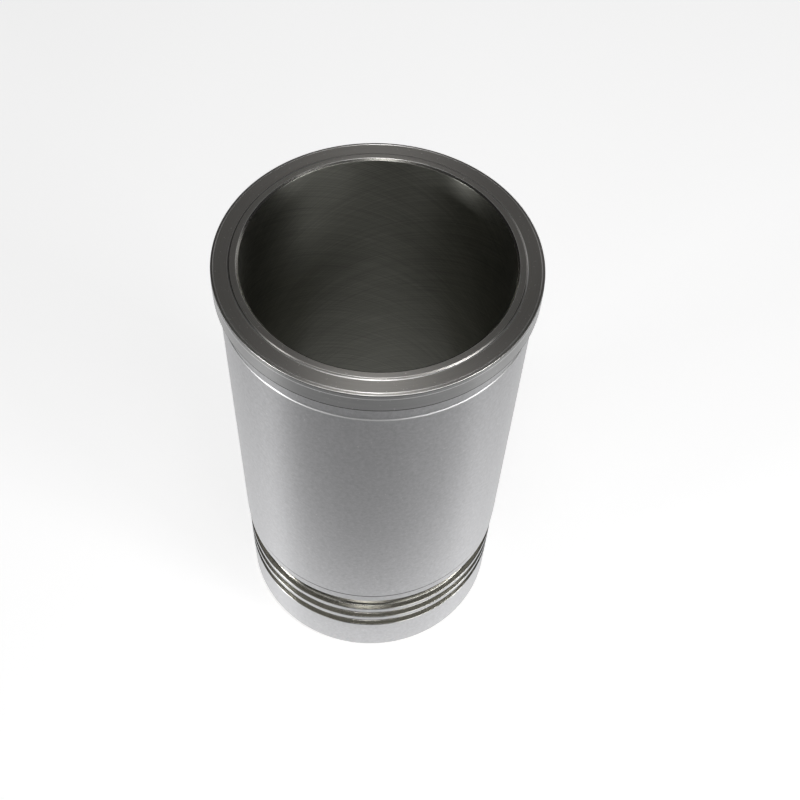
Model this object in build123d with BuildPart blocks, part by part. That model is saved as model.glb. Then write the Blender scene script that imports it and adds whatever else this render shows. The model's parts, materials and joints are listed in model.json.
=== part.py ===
from build123d import *
from math import sqrt
import os

# Wet cylinder liner for a heavy-duty diesel engine: one centrifugally cast iron tube, turned, ground and
# honed. It stands on its lower end with its axis on +Z and its origin at the middle of the lower face.
# All lengths are in millimetres, and heights run up from the lower face.

# Bore
bore_diameter = 137.2        # working bore, honed
mouth_chamfer = 1.1          # 45 degree chamfer where the bore meets the fire ring
foot_chamfer = 1.5           # 45 degree chamfer where the bore leaves the lower face

# Flange and fire ring
overall_length = 292.5       # lower face to the top of the fire ring
fire_ring_width = 4.1        # raised sealing ring, bore to the outer edge of its top
fire_ring_height = 0.8
fire_ring_splay = 0.9        # its outer side slopes out by this much
flange_overhang = 2.4        # how far the flange stands out from the body
flange_thickness = 12.6      # top face of the flange to its seat
rim_bevel_width = 1.4        # shallow bevel round the flange's top face
rim_bevel_depth = 0.2
rim_lead_taper = 0.15        # the rim's upper end tapers in by this much
rim_lead_height = 2.8
flange_seat_chamfer = 0.4

# Relief under the flange, where the rubber filler band sits
relief_depth = 1.4
relief_height = 12.6
relief_slope = 0.5           # fall of the sloped shoulder from the relief out to the body

# Body between the relief and the seal grooves
body_wall = 11.2             # bore to the body's outer surface
collar_drop = 0.25           # the collar at the body's foot is this much smaller in radius
collar_height = 7.1

# Lower pilot with its seal grooves
pilot_drop = 0.5             # the pilot is this much smaller in radius than the body
pilot_height = 33.4          # lower face to the lowest groove
pilot_lead_depth = 1.7       # lead-in chamfer round the foot
pilot_lead_height = 3.6
seal_groove_width = 7.6      # the two lower grooves take round seal rings
crevice_groove_width = 12.9  # the top groove takes a flat crevice seal
groove_depth = 3.4
groove_round = 1.0           # concave rounds where the floors meet the walls
land_width = 3.9             # land between neighbouring grooves
land_chamfer = 0.4           # broken edges of the lands

bore_radius = bore_diameter / 2
fire_ring_radius = bore_radius + fire_ring_width
body_radius = bore_radius + body_wall
flange_radius = body_radius + flange_overhang
relief_radius = body_radius - relief_depth
collar_radius = body_radius - collar_drop
pilot_radius = body_radius - pilot_drop
groove_radius = pilot_radius - groove_depth

flange_top = overall_length - fire_ring_height
flange_seat = flange_top - flange_thickness
relief_foot = flange_seat - relief_height

lowest_groove_top = pilot_height + seal_groove_width
middle_groove_foot = lowest_groove_top + land_width
middle_groove_top = middle_groove_foot + seal_groove_width
crevice_groove_foot = middle_groove_top + land_width
collar_foot = crevice_groove_foot + crevice_groove_width
collar_top = collar_foot + collar_height


def seal_groove(foot, top, upper_radius):
    """Corners of one seal's groove, from the pilot or land below it to the land or collar of upper_radius
    above: both edges are broken, and the floor is rounded into both walls."""
    return [
        (pilot_radius, foot - land_chamfer, 0),
        (pilot_radius - land_chamfer, foot, 0),
        (groove_radius, foot, groove_round),
        (groove_radius, top, groove_round),
        (upper_radius - land_chamfer, top, 0),
        (upper_radius, top + land_chamfer, 0),
    ]


def tangent_points(corners):
    """For corners given as (radius, height, rounding), where the line that comes to each corner stops, the
    corner itself, and where the line that leaves it starts. Both lie one rounding away from the corner."""
    points = [Vector(radius, height) for radius, height, _ in corners]
    roundings = [rounding for _, _, rounding in corners]
    previous_points = points[-1:] + points[:-1]
    next_points = points[1:] + points[:1]
    return [
        (
            point + (previous - point).normalized() * rounding,
            point,
            point + (following - point).normalized() * rounding,
        )
        for previous, point, following, rounding in zip(previous_points, points, next_points, roundings)
    ]


# The tube's wall in section, from the bore's foot outwards, up the outside and back down the bore
liner_wall = [
    (bore_radius + foot_chamfer, 0, 0),
    (pilot_radius - pilot_lead_depth, 0, 0),
    (pilot_radius, pilot_lead_height, 0),
    *seal_groove(pilot_height, lowest_groove_top, pilot_radius),
    *seal_groove(middle_groove_foot, middle_groove_top, pilot_radius),
    *seal_groove(crevice_groove_foot, collar_foot, collar_radius),
    (collar_radius, collar_top, 0),
    (body_radius, collar_top, 0),
    (body_radius, relief_foot - relief_slope, 0),
    (relief_radius, relief_foot, 0),
    (relief_radius, flange_seat, 0),
    (flange_radius - flange_seat_chamfer, flange_seat, 0),
    (flange_radius, flange_seat + flange_seat_chamfer, 0),
    (flange_radius, flange_top - rim_bevel_depth - rim_lead_height, 0),
    (flange_radius - rim_lead_taper, flange_top - rim_bevel_depth, 0),
    (flange_radius - rim_lead_taper - rim_bevel_width, flange_top, 0),
    (fire_ring_radius + fire_ring_splay, flange_top, 0),
    (fire_ring_radius, overall_length, 0),
    (bore_radius + mouth_chamfer, overall_length, 0),
    (bore_radius, overall_length - mouth_chamfer, 0),
    (bore_radius, foot_chamfer, 0),
]

with BuildPart() as cylinder_liner:
    with BuildSketch(Plane.XZ):
        with BuildLine():
            turns = tangent_points(liner_wall)
            for (_, _, line_start), (line_end, _, _) in zip(turns, turns[1:] + turns[:1]):
                Line(line_start, line_end)
            # Quarter circles, drawn as rational curves because a revolved one needs fewer facets than a torus
            for round_start, corner, round_end in turns:
                if round_start != round_end:
                    Bezier(round_start, corner, round_end, weights=(1, sqrt(0.5), 1))
        make_face()
    revolve(axis=Axis.Z)

cylinder_liner.part.label = "cylinder_liner"

os.makedirs("parts", exist_ok=True)
export_step(cylinder_liner.part, "parts/cylinder_liner.step")
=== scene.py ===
import json
import math

import bpy
import numpy as np
from mathutils import Matrix, Vector


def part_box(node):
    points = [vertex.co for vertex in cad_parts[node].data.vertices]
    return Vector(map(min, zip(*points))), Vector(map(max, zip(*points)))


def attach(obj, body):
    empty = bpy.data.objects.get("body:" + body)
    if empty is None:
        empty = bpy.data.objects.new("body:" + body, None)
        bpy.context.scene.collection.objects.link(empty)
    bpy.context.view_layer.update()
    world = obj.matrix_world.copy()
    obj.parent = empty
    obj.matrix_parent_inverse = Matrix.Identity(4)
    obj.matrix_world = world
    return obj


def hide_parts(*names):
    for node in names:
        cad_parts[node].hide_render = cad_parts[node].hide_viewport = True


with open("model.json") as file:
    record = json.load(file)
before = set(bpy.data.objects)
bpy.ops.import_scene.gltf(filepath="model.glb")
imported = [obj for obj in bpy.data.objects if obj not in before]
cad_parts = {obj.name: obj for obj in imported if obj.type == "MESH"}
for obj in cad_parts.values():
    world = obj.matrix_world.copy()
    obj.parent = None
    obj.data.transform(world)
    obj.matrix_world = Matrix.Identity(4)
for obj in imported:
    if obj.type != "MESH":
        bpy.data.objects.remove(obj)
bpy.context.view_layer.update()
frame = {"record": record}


# ---- Cylinder liner -------------------------------------------------------------------------------------
# One centrifugally cast grey iron tube, which hangs by its flange in the bore of an engine block. It is
# turned all over, its outside and top are ground, its bore is honed, and the seal grooves near its foot are
# polished by the tool that cut them.

MM = 0.001
mounts = {mount["name"]: mount for mount in frame["record"]["mounts"]}
bore_radius = mounts["bore"]["dims"]["r_mm"]
pilot_radius = mounts["lower_pilot"]["dims"]["r_mm"]
flange_radius = mounts["flange_rim"]["dims"]["r_mm"]
flange_seat = mounts["flange_seat"]["pos_m"][2] / MM
liner_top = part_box("cylinder_liner")[1][2] / MM

# Bore, fire ring and lower end, in mm like all sizes of the wall
mouth_chamfer, foot_chamfer = 1.1, 1.5
fire_ring_width, fire_ring_height, fire_ring_splay = 4.1, 0.8, 0.8
fire_ring_radius = bore_radius + fire_ring_width
pilot_lead_depth, pilot_lead_height = 1.7, 3.6

# Flange: the rim tapers in a little under a shallow bevel, which a fine vee parts from the top face
flange_top = liner_top - fire_ring_height
seat_chamfer = 0.4
lead_depth, lead_height = 0.15, 2.8
rim_radius = flange_radius - lead_depth
bevel_width, bevel_depth = 1.4, 0.2
bevel_radius, bevel_foot = rim_radius - bevel_width, flange_top - bevel_depth
vee_outer, vee_root, vee_inner = bevel_radius + 0.15, bevel_radius - 0.02, bevel_radius - 0.25
vee_outer_drop, vee_depth = 0.02, 0.17
# Painted shade darkens the rim this far up from its seat's chamfer, and in a line this far below its bevel
shade_reach = 0.5

# Relief for the filler band under the flange, and the body
body_radius, relief_radius = bore_radius + 11.2, bore_radius + 10.75
relief_foot, relief_slope = flange_seat - 10.4, 0.6

# Seal grooves up the pilot: two for round rings and a wide one for a flat crevice seal
groove_radius = pilot_radius - 3.4
groove_width, crevice_width, land_width = 7.6, 13.0, 3.9
groove_round, land_chamfer = 1.2, 0.4
lowest_groove = 33.4
middle_groove = lowest_groove + groove_width + land_width
crevice_groove = middle_groove + groove_width + land_width

# Collar between the grooves and the body, with a shallow undercut where it meets the body
collar_radius, collar_height = body_radius - 0.25, 7.1
collar_foot = crevice_groove + crevice_width
collar_top = collar_foot + collar_height
undercut_radius = collar_radius - 0.2
undercut_foot, undercut_root, undercut_head = collar_top - 0.9, collar_top - 0.1, collar_top + 0.3


def seal_groove(foot, top, upper_radius):
    """Corners of one seal's groove, from the pilot or land below it to the one of upper_radius above."""
    return [
        (pilot_radius, foot - land_chamfer, 0.15, "polished", "satin"),
        (pilot_radius - land_chamfer, foot, 0.15, "polished", "polished"),
        (groove_radius, foot, groove_round, "polished", "polished"),
        (groove_radius, top, groove_round, "polished", "polished"),
        (upper_radius - land_chamfer, top, 0.1, "polished", "polished"),
        (upper_radius, top + land_chamfer, 0.15, "satin", "polished"),
    ]


# Corners of the wall's section, from the bore's foot outwards, up the outside and back down the bore. Each
# has its radius, height and rounding, the finish of the face from there to the next corner, and the finish
# of the rounded corner itself.
wall_corners = [
    # The foot's two outer corners are coloured near white: painted highlights
    (bore_radius + foot_chamfer, 0, 0.15, "turned", "burnished"),
    (pilot_radius - pilot_lead_depth, 0, 0.15, "turned", "burnished"),
    (pilot_radius, pilot_lead_height, 0.3, "satin", "satin"),
    *seal_groove(lowest_groove, lowest_groove + groove_width, pilot_radius),
    *seal_groove(middle_groove, middle_groove + groove_width, pilot_radius),
    *seal_groove(crevice_groove, collar_foot, collar_radius),
    # The collar's undercut is coloured dark: painted shade
    (collar_radius, undercut_foot, 0.05, "oiled", "oiled"),
    (undercut_radius, undercut_root, 0.05, "oiled", "oiled"),
    (body_radius, undercut_head, 0.1, "satin", "oiled"),
    # The relief's sloped foot is coloured pale: a painted highlight
    (body_radius, relief_foot - relief_slope, 0.3, "scraped", "scraped"),
    (relief_radius, relief_foot, 0.2, "satin", "satin"),
    (relief_radius, flange_seat, 0.3, "turned", "turned"),
    # The flange's lower edge is coloured dark: painted shade
    (flange_radius - seat_chamfer, flange_seat, 0.1, "oiled", "oiled"),
    (flange_radius, flange_seat + seat_chamfer, 0.1, "oiled", "oiled"),
    # The rim's wall is coloured darker than the other turned faces: painted shade
    (flange_radius, flange_seat + seat_chamfer + shade_reach, 0.1, "rim", "oiled"),
    # The rim's lead line is coloured pale: a painted highlight
    (flange_radius, bevel_foot - lead_height, 0.25, "rim", "scraped"),
    # A dark line under the bevel: painted shade
    (rim_radius, bevel_foot - shade_reach, 0.2, "rim", "oiled"),
    # From the rim's bevel to the mouth, the corners are coloured near white: painted highlights
    (rim_radius, bevel_foot, 0.3, "ground", "burnished"),
    (vee_outer, flange_top - vee_outer_drop, 0.08, "burnished", "burnished"),
    (vee_root, flange_top - vee_depth, 0.08, "burnished", "burnished"),
    (vee_inner, flange_top, 0.16, "ground", "burnished"),
    (fire_ring_radius + fire_ring_splay, flange_top, 0.38, "ground", "burnished"),
    (fire_ring_radius, liner_top, 0.12, "ground", "burnished"),
    (bore_radius + mouth_chamfer, liner_top, 0.15, "polished", "burnished"),
    (bore_radius, liner_top - mouth_chamfer, 0.15, "honed", "honed"),
    (bore_radius, foot_chamfer, 0.2, "turned", "turned"),
]


def wall_outline(corners, arc_points):
    """Points and outward normals of the section, in order. Each corner is a curve that mixes three points
    by (1-t)^2, 2t(1-t) and t^2: where it leaves the incoming line, the corner itself, and where it joins
    the outgoing line. Its slope turned by a right angle is the normal."""
    points = np.array([corner[:2] for corner in corners], float)
    rounding = np.array([corner[2] for corner in corners])[:, None]
    to_last = np.roll(points, 1, axis=0) - points
    to_next = np.roll(points, -1, axis=0) - points
    start = (points + rounding * to_last / np.linalg.norm(to_last, axis=1, keepdims=True))[:, None, :]
    end = (points + rounding * to_next / np.linalg.norm(to_next, axis=1, keepdims=True))[:, None, :]
    corner = points[:, None, :]
    t = np.linspace(0, 1, arc_points)[None, :, None]
    curve = (1 - t) ** 2 * start + 2 * t * (1 - t) * corner + t**2 * end
    slope = (1 - t) * (corner - start) + t * (end - corner)
    normal = np.stack([slope[..., 1], -slope[..., 0]], axis=-1)
    normal /= np.linalg.norm(normal, axis=-1, keepdims=True)
    return curve.reshape(-1, 2), normal.reshape(-1, 2)


def revolved(name, outline, normals, facets, row_finishes):
    """Turns a closed outline of (radius, height) in metres round +Z, so that a point at the angle a is
    (r cos a, r sin a, z). The UV map holds the way round at one metre's radius and the way along the
    outline, both in metres."""
    angle = 2 * np.pi * np.arange(facets) / facets
    ring = np.stack([np.cos(angle), np.sin(angle)], axis=-1)[None]
    vertices, vertex_normals = (
        np.concatenate(
            [section[:, None, :1] * ring, np.repeat(section[:, None, 1:], facets, axis=1)], axis=-1
        )
        for section in (outline, normals)
    )
    rows = np.arange(len(outline))[:, None]
    columns = np.arange(facets)[None, :]
    next_row, next_column = (rows + 1) % len(outline), (columns + 1) % facets
    quads = np.stack(
        [
            rows * facets + columns,
            rows * facets + next_column,
            next_row * facets + next_column,
            next_row * facets + columns,
        ],
        axis=-1,
    ).reshape(-1, 4)
    mesh = bpy.data.meshes.new(name)
    mesh.from_pydata(vertices.reshape(-1, 3).tolist(), [], quads.tolist())

    step = np.linalg.norm(np.roll(outline, -1, axis=0) - outline, axis=1)
    along = np.concatenate([[0], np.cumsum(step)])
    around = 2 * np.pi * np.arange(facets + 1) / facets
    uv = np.empty((len(outline), facets, 4, 2))
    uv[..., [0, 3], 0] = around[None, :-1, None]
    uv[..., [1, 2], 0] = around[None, 1:, None]
    uv[..., [0, 1], 1] = along[:-1, None, None]
    uv[..., [2, 3], 1] = along[1:, None, None]
    mesh.uv_layers.new(name="lay").data.foreach_set("uv", uv.ravel())
    mesh.polygons.foreach_set("material_index", np.repeat(row_finishes, facets))
    mesh.polygons.foreach_set("use_smooth", np.ones(len(quads), bool))
    mesh.normals_split_custom_set_from_vertices(vertex_normals.reshape(-1, 3).tolist())
    mesh.update()
    piece = bpy.data.objects.new(name, mesh)
    bpy.context.scene.collection.objects.link(piece)
    return piece


def linear(hex_colour):
    """An sRGB hex colour as linear RGBA."""
    srgb = np.array([int(hex_colour[i : i + 2], 16) for i in (1, 3, 5)]) / 255
    rgb = np.where(srgb <= 0.04045, srgb / 12.92, ((srgb + 0.055) / 1.055) ** 2.4)
    return (*rgb.tolist(), 1.0)


def add(tree, kind, inputs=(), **settings):
    """Adds one node with its settings. Inputs give a value or another node's output for a socket."""
    node = tree.nodes.new(kind)
    for name, value in settings.items():
        setattr(node, name, value)
    for socket, value in dict(inputs).items():
        if isinstance(value, bpy.types.NodeSocket):
            tree.links.new(value, node.inputs[socket])
        else:
            node.inputs[socket].default_value = value
    return node


def metal(name, roughness, anisotropic):
    """A bare metal's material, with its node tree and shader. The lay runs round the axis, as the UV map's
    first coordinate does, and a quarter turn of it stretches the highlights across the lay."""
    material = bpy.data.materials.new(name)
    material.use_nodes = True
    tree = material.node_tree
    tree.nodes.clear()
    tangent = add(tree, "ShaderNodeTangent", direction_type="UV_MAP", uv_map="lay")
    shader = add(
        tree,
        "ShaderNodeBsdfPrincipled",
        {
            "Metallic": 1.0,
            "Roughness": roughness,
            "Anisotropic": anisotropic,
            "Anisotropic Rotation": 0.25,
            "Tangent": tangent.outputs[0],
        },
    )
    add(tree, "ShaderNodeOutputMaterial", {"Surface": shader.outputs[0]})
    return material, tree, shader


def lay_rings(tree, pitch, cells_round):
    """Noise in fine rings round the axis. It is quick across them, with one cell for each pitch in mm of
    2 * radius + height, and slow round them, with cells_round cells to a radian."""
    place = add(tree, "ShaderNodeTexCoord").outputs["Object"]
    parts = add(tree, "ShaderNodeSeparateXYZ", {0: place})
    flat = add(tree, "ShaderNodeVectorMath", {0: place, 1: (1, 1, 0)}, operation="MULTIPLY")
    radius = add(tree, "ShaderNodeVectorMath", {0: flat.outputs[0]}, operation="LENGTH")
    across = add(
        tree,
        "ShaderNodeMath",
        {0: radius.outputs["Value"], 1: 2.0, 2: parts.outputs["Z"]},
        operation="MULTIPLY_ADD",
    )
    scaled = add(tree, "ShaderNodeMath", {0: across.outputs[0], 1: 1 / (pitch * MM)}, operation="MULTIPLY")
    direction = add(tree, "ShaderNodeVectorMath", {0: flat.outputs[0]}, operation="NORMALIZE")
    slow = add(
        tree, "ShaderNodeVectorMath", {0: direction.outputs[0], "Scale": cells_round}, operation="SCALE"
    )
    slow_parts = add(tree, "ShaderNodeSeparateXYZ", {0: slow.outputs[0]})
    vector = add(
        tree,
        "ShaderNodeCombineXYZ",
        {"X": scaled.outputs[0], "Y": slow_parts.outputs["X"], "Z": slow_parts.outputs["Y"]},
    )
    rings = add(tree, "ShaderNodeTexNoise", {"Vector": vector.outputs[0], "Scale": 1.0, "Detail": 2.0})
    return rings.outputs[0]


def iron_tones(tree, shader, pattern, dark, pale, speck_strength=0.0):
    """Colours the iron from a dark to a pale tone by a pattern. Where speck_strength isn't zero, pale specks
    of about half a millimetre lie on top: the crests of a noise, where graphite was torn out."""
    tones = add(
        tree, "ShaderNodeMix", {"Factor": pattern, "A": linear(dark), "B": linear(pale)}, data_type="RGBA"
    )
    colour = tones.outputs["Result"]
    if speck_strength:
        speck_spacing = 1.111
        crest_foot, crest_top = 0.70, 0.80
        place = add(tree, "ShaderNodeTexCoord").outputs["Object"]
        grit = add(
            tree, "ShaderNodeTexNoise", {"Vector": place, "Scale": 1 / (speck_spacing * MM), "Detail": 1.0}
        )
        crest = add(
            tree,
            "ShaderNodeMapRange",
            {0: grit.outputs[0], 1: crest_foot, 2: crest_top, 3: 0.0, 4: speck_strength},
        )
        specks = add(
            tree,
            "ShaderNodeMix",
            {"Factor": crest.outputs[0], "A": colour, "B": linear("#e8e6e2")},
            data_type="RGBA",
        )
        colour = specks.outputs["Result"]
    tree.links.new(colour, shader.inputs["Base Color"])


# Ground grey cast iron on the flange and the fire ring: the wheel leaves a fine concentric lay, so the face
# brightens towards and away from the light and stays dark across it. The lay's real pitch, about 0.05 mm,
# is too fine to show, so it is drawn at 0.35 mm.
ground, tree, shader = metal("ground grey cast iron", roughness=0.4, anisotropic=0.7)
rings = lay_rings(tree, pitch=0.35, cells_round=3.0)
iron_tones(tree, shader, rings, "#a29f9b", "#bdbab5", speck_strength=0.8)

# Turned grey cast iron on the lower face, the flange's seat and the bore's foot: the rings of the tool's
# feed give a silky sheen. The real feed, about 0.2 mm, is drawn at 0.5 mm so that it shows.
turned, tree, shader = metal("turned grey cast iron", roughness=0.3, anisotropic=0.8)
rings = lay_rings(tree, pitch=0.5, cells_round=2.0)
iron_tones(tree, shader, rings, "#a29f9b", "#bdbab5")

# Finely turned grey cast iron on the flange's rim, with pale specks. It is coloured a little darker than the
# other turned faces, which is painted shade. The real feed, about 0.1 mm, is drawn at 0.5 mm so that it
# shows.
rim, tree, shader = metal("finely turned grey cast iron", roughness=0.34, anisotropic=0.8)
rings = lay_rings(tree, pitch=0.5, cells_round=2.0)
iron_tones(tree, shader, rings, "#969696", "#b2b2b2", speck_strength=0.5)

# Satin ground grey cast iron on the body and the pilot: a soft sheen with a mottle of 2 mm and pale specks
satin, tree, shader = metal("satin ground grey cast iron", roughness=0.38, anisotropic=0.7)
mottle_size = 2.0
place = add(tree, "ShaderNodeTexCoord").outputs["Object"]
mottle = add(
    tree,
    "ShaderNodeTexNoise",
    {"Vector": place, "Scale": 1 / (mottle_size * MM), "Detail": 4.0, "Roughness": 0.7},
)
iron_tones(tree, shader, mottle.outputs[0], "#9c9c9d", "#cbcbcd", speck_strength=0.55)

# Tool polished grey cast iron in the seal grooves: smooth enough to draw each lamp as a soft spot. The real
# feed, about 0.1 mm, is drawn at 0.6 mm so that it shows.
polished, tree, shader = metal("tool polished grey cast iron", roughness=0.24, anisotropic=0.0)
rings = lay_rings(tree, pitch=0.6, cells_round=2.0)
iron_tones(tree, shader, rings, "#9b9a94", "#c0beb8")

# Honed grey cast iron in the bore: the stones leave two families of helical lines that cross and rise at 26
# degrees. Turning a place round the axis in step with its height makes a line of each family one point of
# the noise. The real lines are about 0.05 mm apart, and are drawn 1.1 mm apart so that they show.
honed, tree, shader = metal("honed grey cast iron", roughness=0.36, anisotropic=0.8)
hone_spacing = 1.111
hone_turn = 30.0  # radians for each metre up the bore
hone_flattening = 0.06  # a line's noise is this much slower up the bore than round it
hone_dark, hone_pale = 0.12, 0.42  # the product of both families at the dark and the pale tone
place = add(tree, "ShaderNodeTexCoord").outputs["Object"]
height = add(tree, "ShaderNodeSeparateXYZ", {0: place}).outputs["Z"]
families = []
for turn in (hone_turn, -hone_turn):
    angle = add(tree, "ShaderNodeMath", {0: height, 1: turn}, operation="MULTIPLY")
    turned_place = add(
        tree, "ShaderNodeVectorRotate", {0: place, 3: angle.outputs[0]}, rotation_type="Z_AXIS"
    )
    flattened = add(
        tree,
        "ShaderNodeVectorMath",
        {0: turned_place.outputs[0], 1: (1, 1, hone_flattening)},
        operation="MULTIPLY",
    )
    family = add(
        tree,
        "ShaderNodeTexNoise",
        {"Vector": flattened.outputs[0], "Scale": 1 / (hone_spacing * MM), "Detail": 3.0},
    )
    families.append(family.outputs[0])
crossed = add(tree, "ShaderNodeMath", {0: families[0], 1: families[1]}, operation="MULTIPLY")
contrast = add(
    tree, "ShaderNodeMapRange", {0: crossed.outputs[0], 1: hone_dark, 2: hone_pale, 3: 0.0, 4: 1.0}
)
iron_tones(tree, shader, contrast.outputs[0], "#96968f", "#b7b7af")

# Smooth edges: a rounded corner is rubbed smooth, and its near white colour is a painted highlight that
# draws a thin bright line
burnished, tree, shader = metal("burnished cast iron edge", roughness=0.28, anisotropic=0.0)
shader.inputs["Base Color"].default_value = linear("#f6f4f1")

# Pale matt edges: the corner's pale colour is a painted highlight, a band that stands for the light it
# catches
scraped, tree, shader = metal("scraped cast iron edge", roughness=0.5, anisotropic=0.3)
shader.inputs["Base Color"].default_value = linear("#dedede")

# Painted shade: a dark edge colour stands for the shade in the collar's undercut and along both edges of the
# rim
oiled, tree, shader = metal("oil darkened cast iron edge", roughness=0.4, anisotropic=0.5)
shader.inputs["Base Color"].default_value = linear("#565654")

finishes = {
    "ground": ground,
    "rim": rim,
    "oiled": oiled,
    "turned": turned,
    "satin": satin,
    "polished": polished,
    "honed": honed,
    "burnished": burnished,
    "scraped": scraped,
}
arc_points = 5
facets = 480  # as many as keep the piece under 200,000 triangles
outline, normals = wall_outline(wall_corners, arc_points)
# The rows of a corner's curve have its own finish, and the last row is the face up to the next corner
finish_names = list(finishes)
finish_rows = np.repeat([finish_names.index(corner[4]) for corner in wall_corners], arc_points)
finish_rows[arc_points - 1 :: arc_points] = [finish_names.index(corner[3]) for corner in wall_corners]
liner = revolved("liner_surface", outline * MM, normals, facets, finish_rows)
for finish in finishes.values():
    liner.data.materials.append(finish)
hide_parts("cylinder_liner")
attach(liner, "root")


# ---- Floor ----------------------------------------------------------------------------------------------
# A sheet of seamless white paper, laid flat under the liner. It glows just enough to show as plain white,
# and keeps the liner's shadow.


def background_rays(tree):
    """Two outputs that are 1 on the rays that show a background: those straight from the camera or through
    glass, and those that a metal mirrors."""
    path = add(tree, "ShaderNodeLightPath")
    seen = add(
        tree,
        "ShaderNodeMath",
        {0: path.outputs["Is Camera Ray"], 1: path.outputs["Is Transmission Ray"]},
        operation="MAXIMUM",
    )
    return seen.outputs[0], path.outputs["Is Glossy Ray"]


paper_reach = 6.0
paper_corners = [
    (-paper_reach, -paper_reach, 0),
    (paper_reach, -paper_reach, 0),
    (paper_reach, paper_reach, 0),
    (-paper_reach, paper_reach, 0),
]
floor_mesh = bpy.data.meshes.new("paper_sweep")
floor_mesh.from_pydata(paper_corners, [], [(0, 1, 2, 3)])
floor = bpy.data.objects.new("paper_sweep", floor_mesh)
bpy.context.scene.collection.objects.link(floor)

# Matt white paper: an even, soft white with no gloss
paper = bpy.data.materials.new("matt white paper")
paper.use_nodes = True
tree = paper.node_tree
tree.nodes.clear()
diffuse = add(tree, "ShaderNodeBsdfDiffuse", {"Color": linear("#dadada")})
seen, mirrored = background_rays(tree)
place = add(tree, "ShaderNodeTexCoord").outputs["Object"]
# What metal mirrors of the paper is a pool of light round the liner and behind it, which fades to the dim
# room in front
pool_centre, pool_radius, pool_fade, pool_glow = (0, 0.3, 0), 0.40, 0.10, 0.97
off_pool = add(tree, "ShaderNodeVectorMath", {0: place, 1: pool_centre}, operation="DISTANCE")
pool = add(
    tree,
    "ShaderNodeMapRange",
    {0: off_pool.outputs["Value"], 1: pool_radius, 2: pool_radius + pool_fade, 3: pool_glow, 4: 0.0},
    interpolation_type="SMOOTHSTEP",
)
# Little light falls on the paper inside the bore
inside_radius, outside_radius, inside_share = 0.07, 0.08, 0.2
off_axis = add(tree, "ShaderNodeVectorMath", {0: place}, operation="LENGTH")
outside = add(
    tree,
    "ShaderNodeMapRange",
    {0: off_axis.outputs["Value"], 1: inside_radius, 2: outside_radius, 3: inside_share, 4: 1.0},
)
lit_pool = add(tree, "ShaderNodeMath", {0: pool.outputs[0], 1: outside.outputs[0]}, operation="MULTIPLY")
mirrored_pool = add(tree, "ShaderNodeMath", {0: mirrored, 1: lit_pool.outputs[0]}, operation="MULTIPLY")
seen_outside = add(tree, "ShaderNodeMath", {0: seen, 1: outside.outputs[0]}, operation="MULTIPLY")
paper_glow = 0.70
strength = add(
    tree,
    "ShaderNodeMath",
    {0: seen_outside.outputs[0], 1: paper_glow, 2: mirrored_pool.outputs[0]},
    operation="MULTIPLY_ADD",
)
glow = add(tree, "ShaderNodeEmission", {"Strength": strength.outputs[0]})
both = add(tree, "ShaderNodeAddShader", {0: diffuse.outputs[0], 1: glow.outputs[0]})
add(tree, "ShaderNodeOutputMaterial", {"Surface": both.outputs[0]})
floor_mesh.materials.append(paper)


# ---- Studio light ---------------------------------------------------------------------------------------
# Softboxes on stands: a small one overhead, two strong ones far out and low at the sides, weaker ones
# higher at the right and in front, and two behind. The room round them is dark where metal mirrors it.


def softbox(name, azimuth, elevation, distance, size, power):
    """A square area lamp at a distance in metres from the liner's middle, facing it. Azimuth runs in
    degrees from straight in front towards the right, and elevation up from level."""
    turn, rise = math.radians(azimuth), math.radians(elevation)
    away = Vector((math.sin(turn) * math.cos(rise), -math.cos(turn) * math.cos(rise), math.sin(rise)))
    liner_middle = Vector((0, 0, 0.15))
    data = bpy.data.lights.new(name, "AREA")
    data.shape = "SQUARE"
    data.size, data.energy = size, power
    lamp = bpy.data.objects.new(name, data)
    facing = (-away).to_track_quat("-Z", "Y").to_matrix().to_4x4()
    lamp.matrix_world = Matrix.Translation(liner_middle + away * distance) @ facing
    bpy.context.scene.collection.objects.link(lamp)


softbox("overhead", 0, 90, 1.0, 0.35, 1.0)
softbox("left", -62, 4, 3.0, 0.6, 35.0)
softbox("right", 65, 4, 3.0, 0.6, 19.0)
softbox("right_high", 55, 30, 1.5, 0.4, 4.0)
softbox("front_right", 32, 20, 1.5, 0.6, 3.2)
softbox("front_left", -32, 20, 1.5, 0.6, 1.5)
softbox("front_high", -3, 60, 1.5, 0.25, 2.2)
softbox("front_middle", 4, 38, 1.5, 0.2, 0.6)
softbox("back_right", 135, 20, 1.5, 0.6, 0.6)
softbox("back_high", 180, 55, 1.5, 0.8, 0.42)

room_glow = 0.02
world = bpy.data.worlds.new("dim room")
bpy.context.scene.world = world
world.use_nodes = True
tree = world.node_tree
tree.nodes.clear()
seen, mirrored = background_rays(tree)
mirrored_room = add(tree, "ShaderNodeMath", {0: mirrored, 1: room_glow}, operation="MULTIPLY")
strength = add(tree, "ShaderNodeMath", {0: seen, 1: mirrored_room.outputs[0]}, operation="MAXIMUM")
backdrop = add(tree, "ShaderNodeBackground", {"Color": (1, 1, 1, 1), "Strength": strength.outputs[0]})
add(tree, "ShaderNodeOutputWorld", {"Surface": backdrop.outputs[0]})


# ---- Camera ---------------------------------------------------------------------------------------------
# Held above and in front of the liner, looking down on it at 55 degrees and turned a little off level.

camera = bpy.data.objects.new("camera", bpy.data.cameras.new("camera"))
camera.data.sensor_width = 36
camera.data.lens = 51.47
camera_place = (0, -0.3765, 0.7130)
pan, tilt, roll = 0.0394, 0.9634, -0.0627  # radians
camera.matrix_world = (
    Matrix.Translation(camera_place)
    @ Matrix.Rotation(-pan, 4, "Z")
    @ Matrix.Rotation(math.pi / 2 - tilt, 4, "X")
    @ Matrix.Rotation(-roll, 4, "Z")
)
bpy.context.scene.collection.objects.link(camera)
bpy.context.scene.camera = camera
bpy.context.scene.view_settings.view_transform = "Standard"
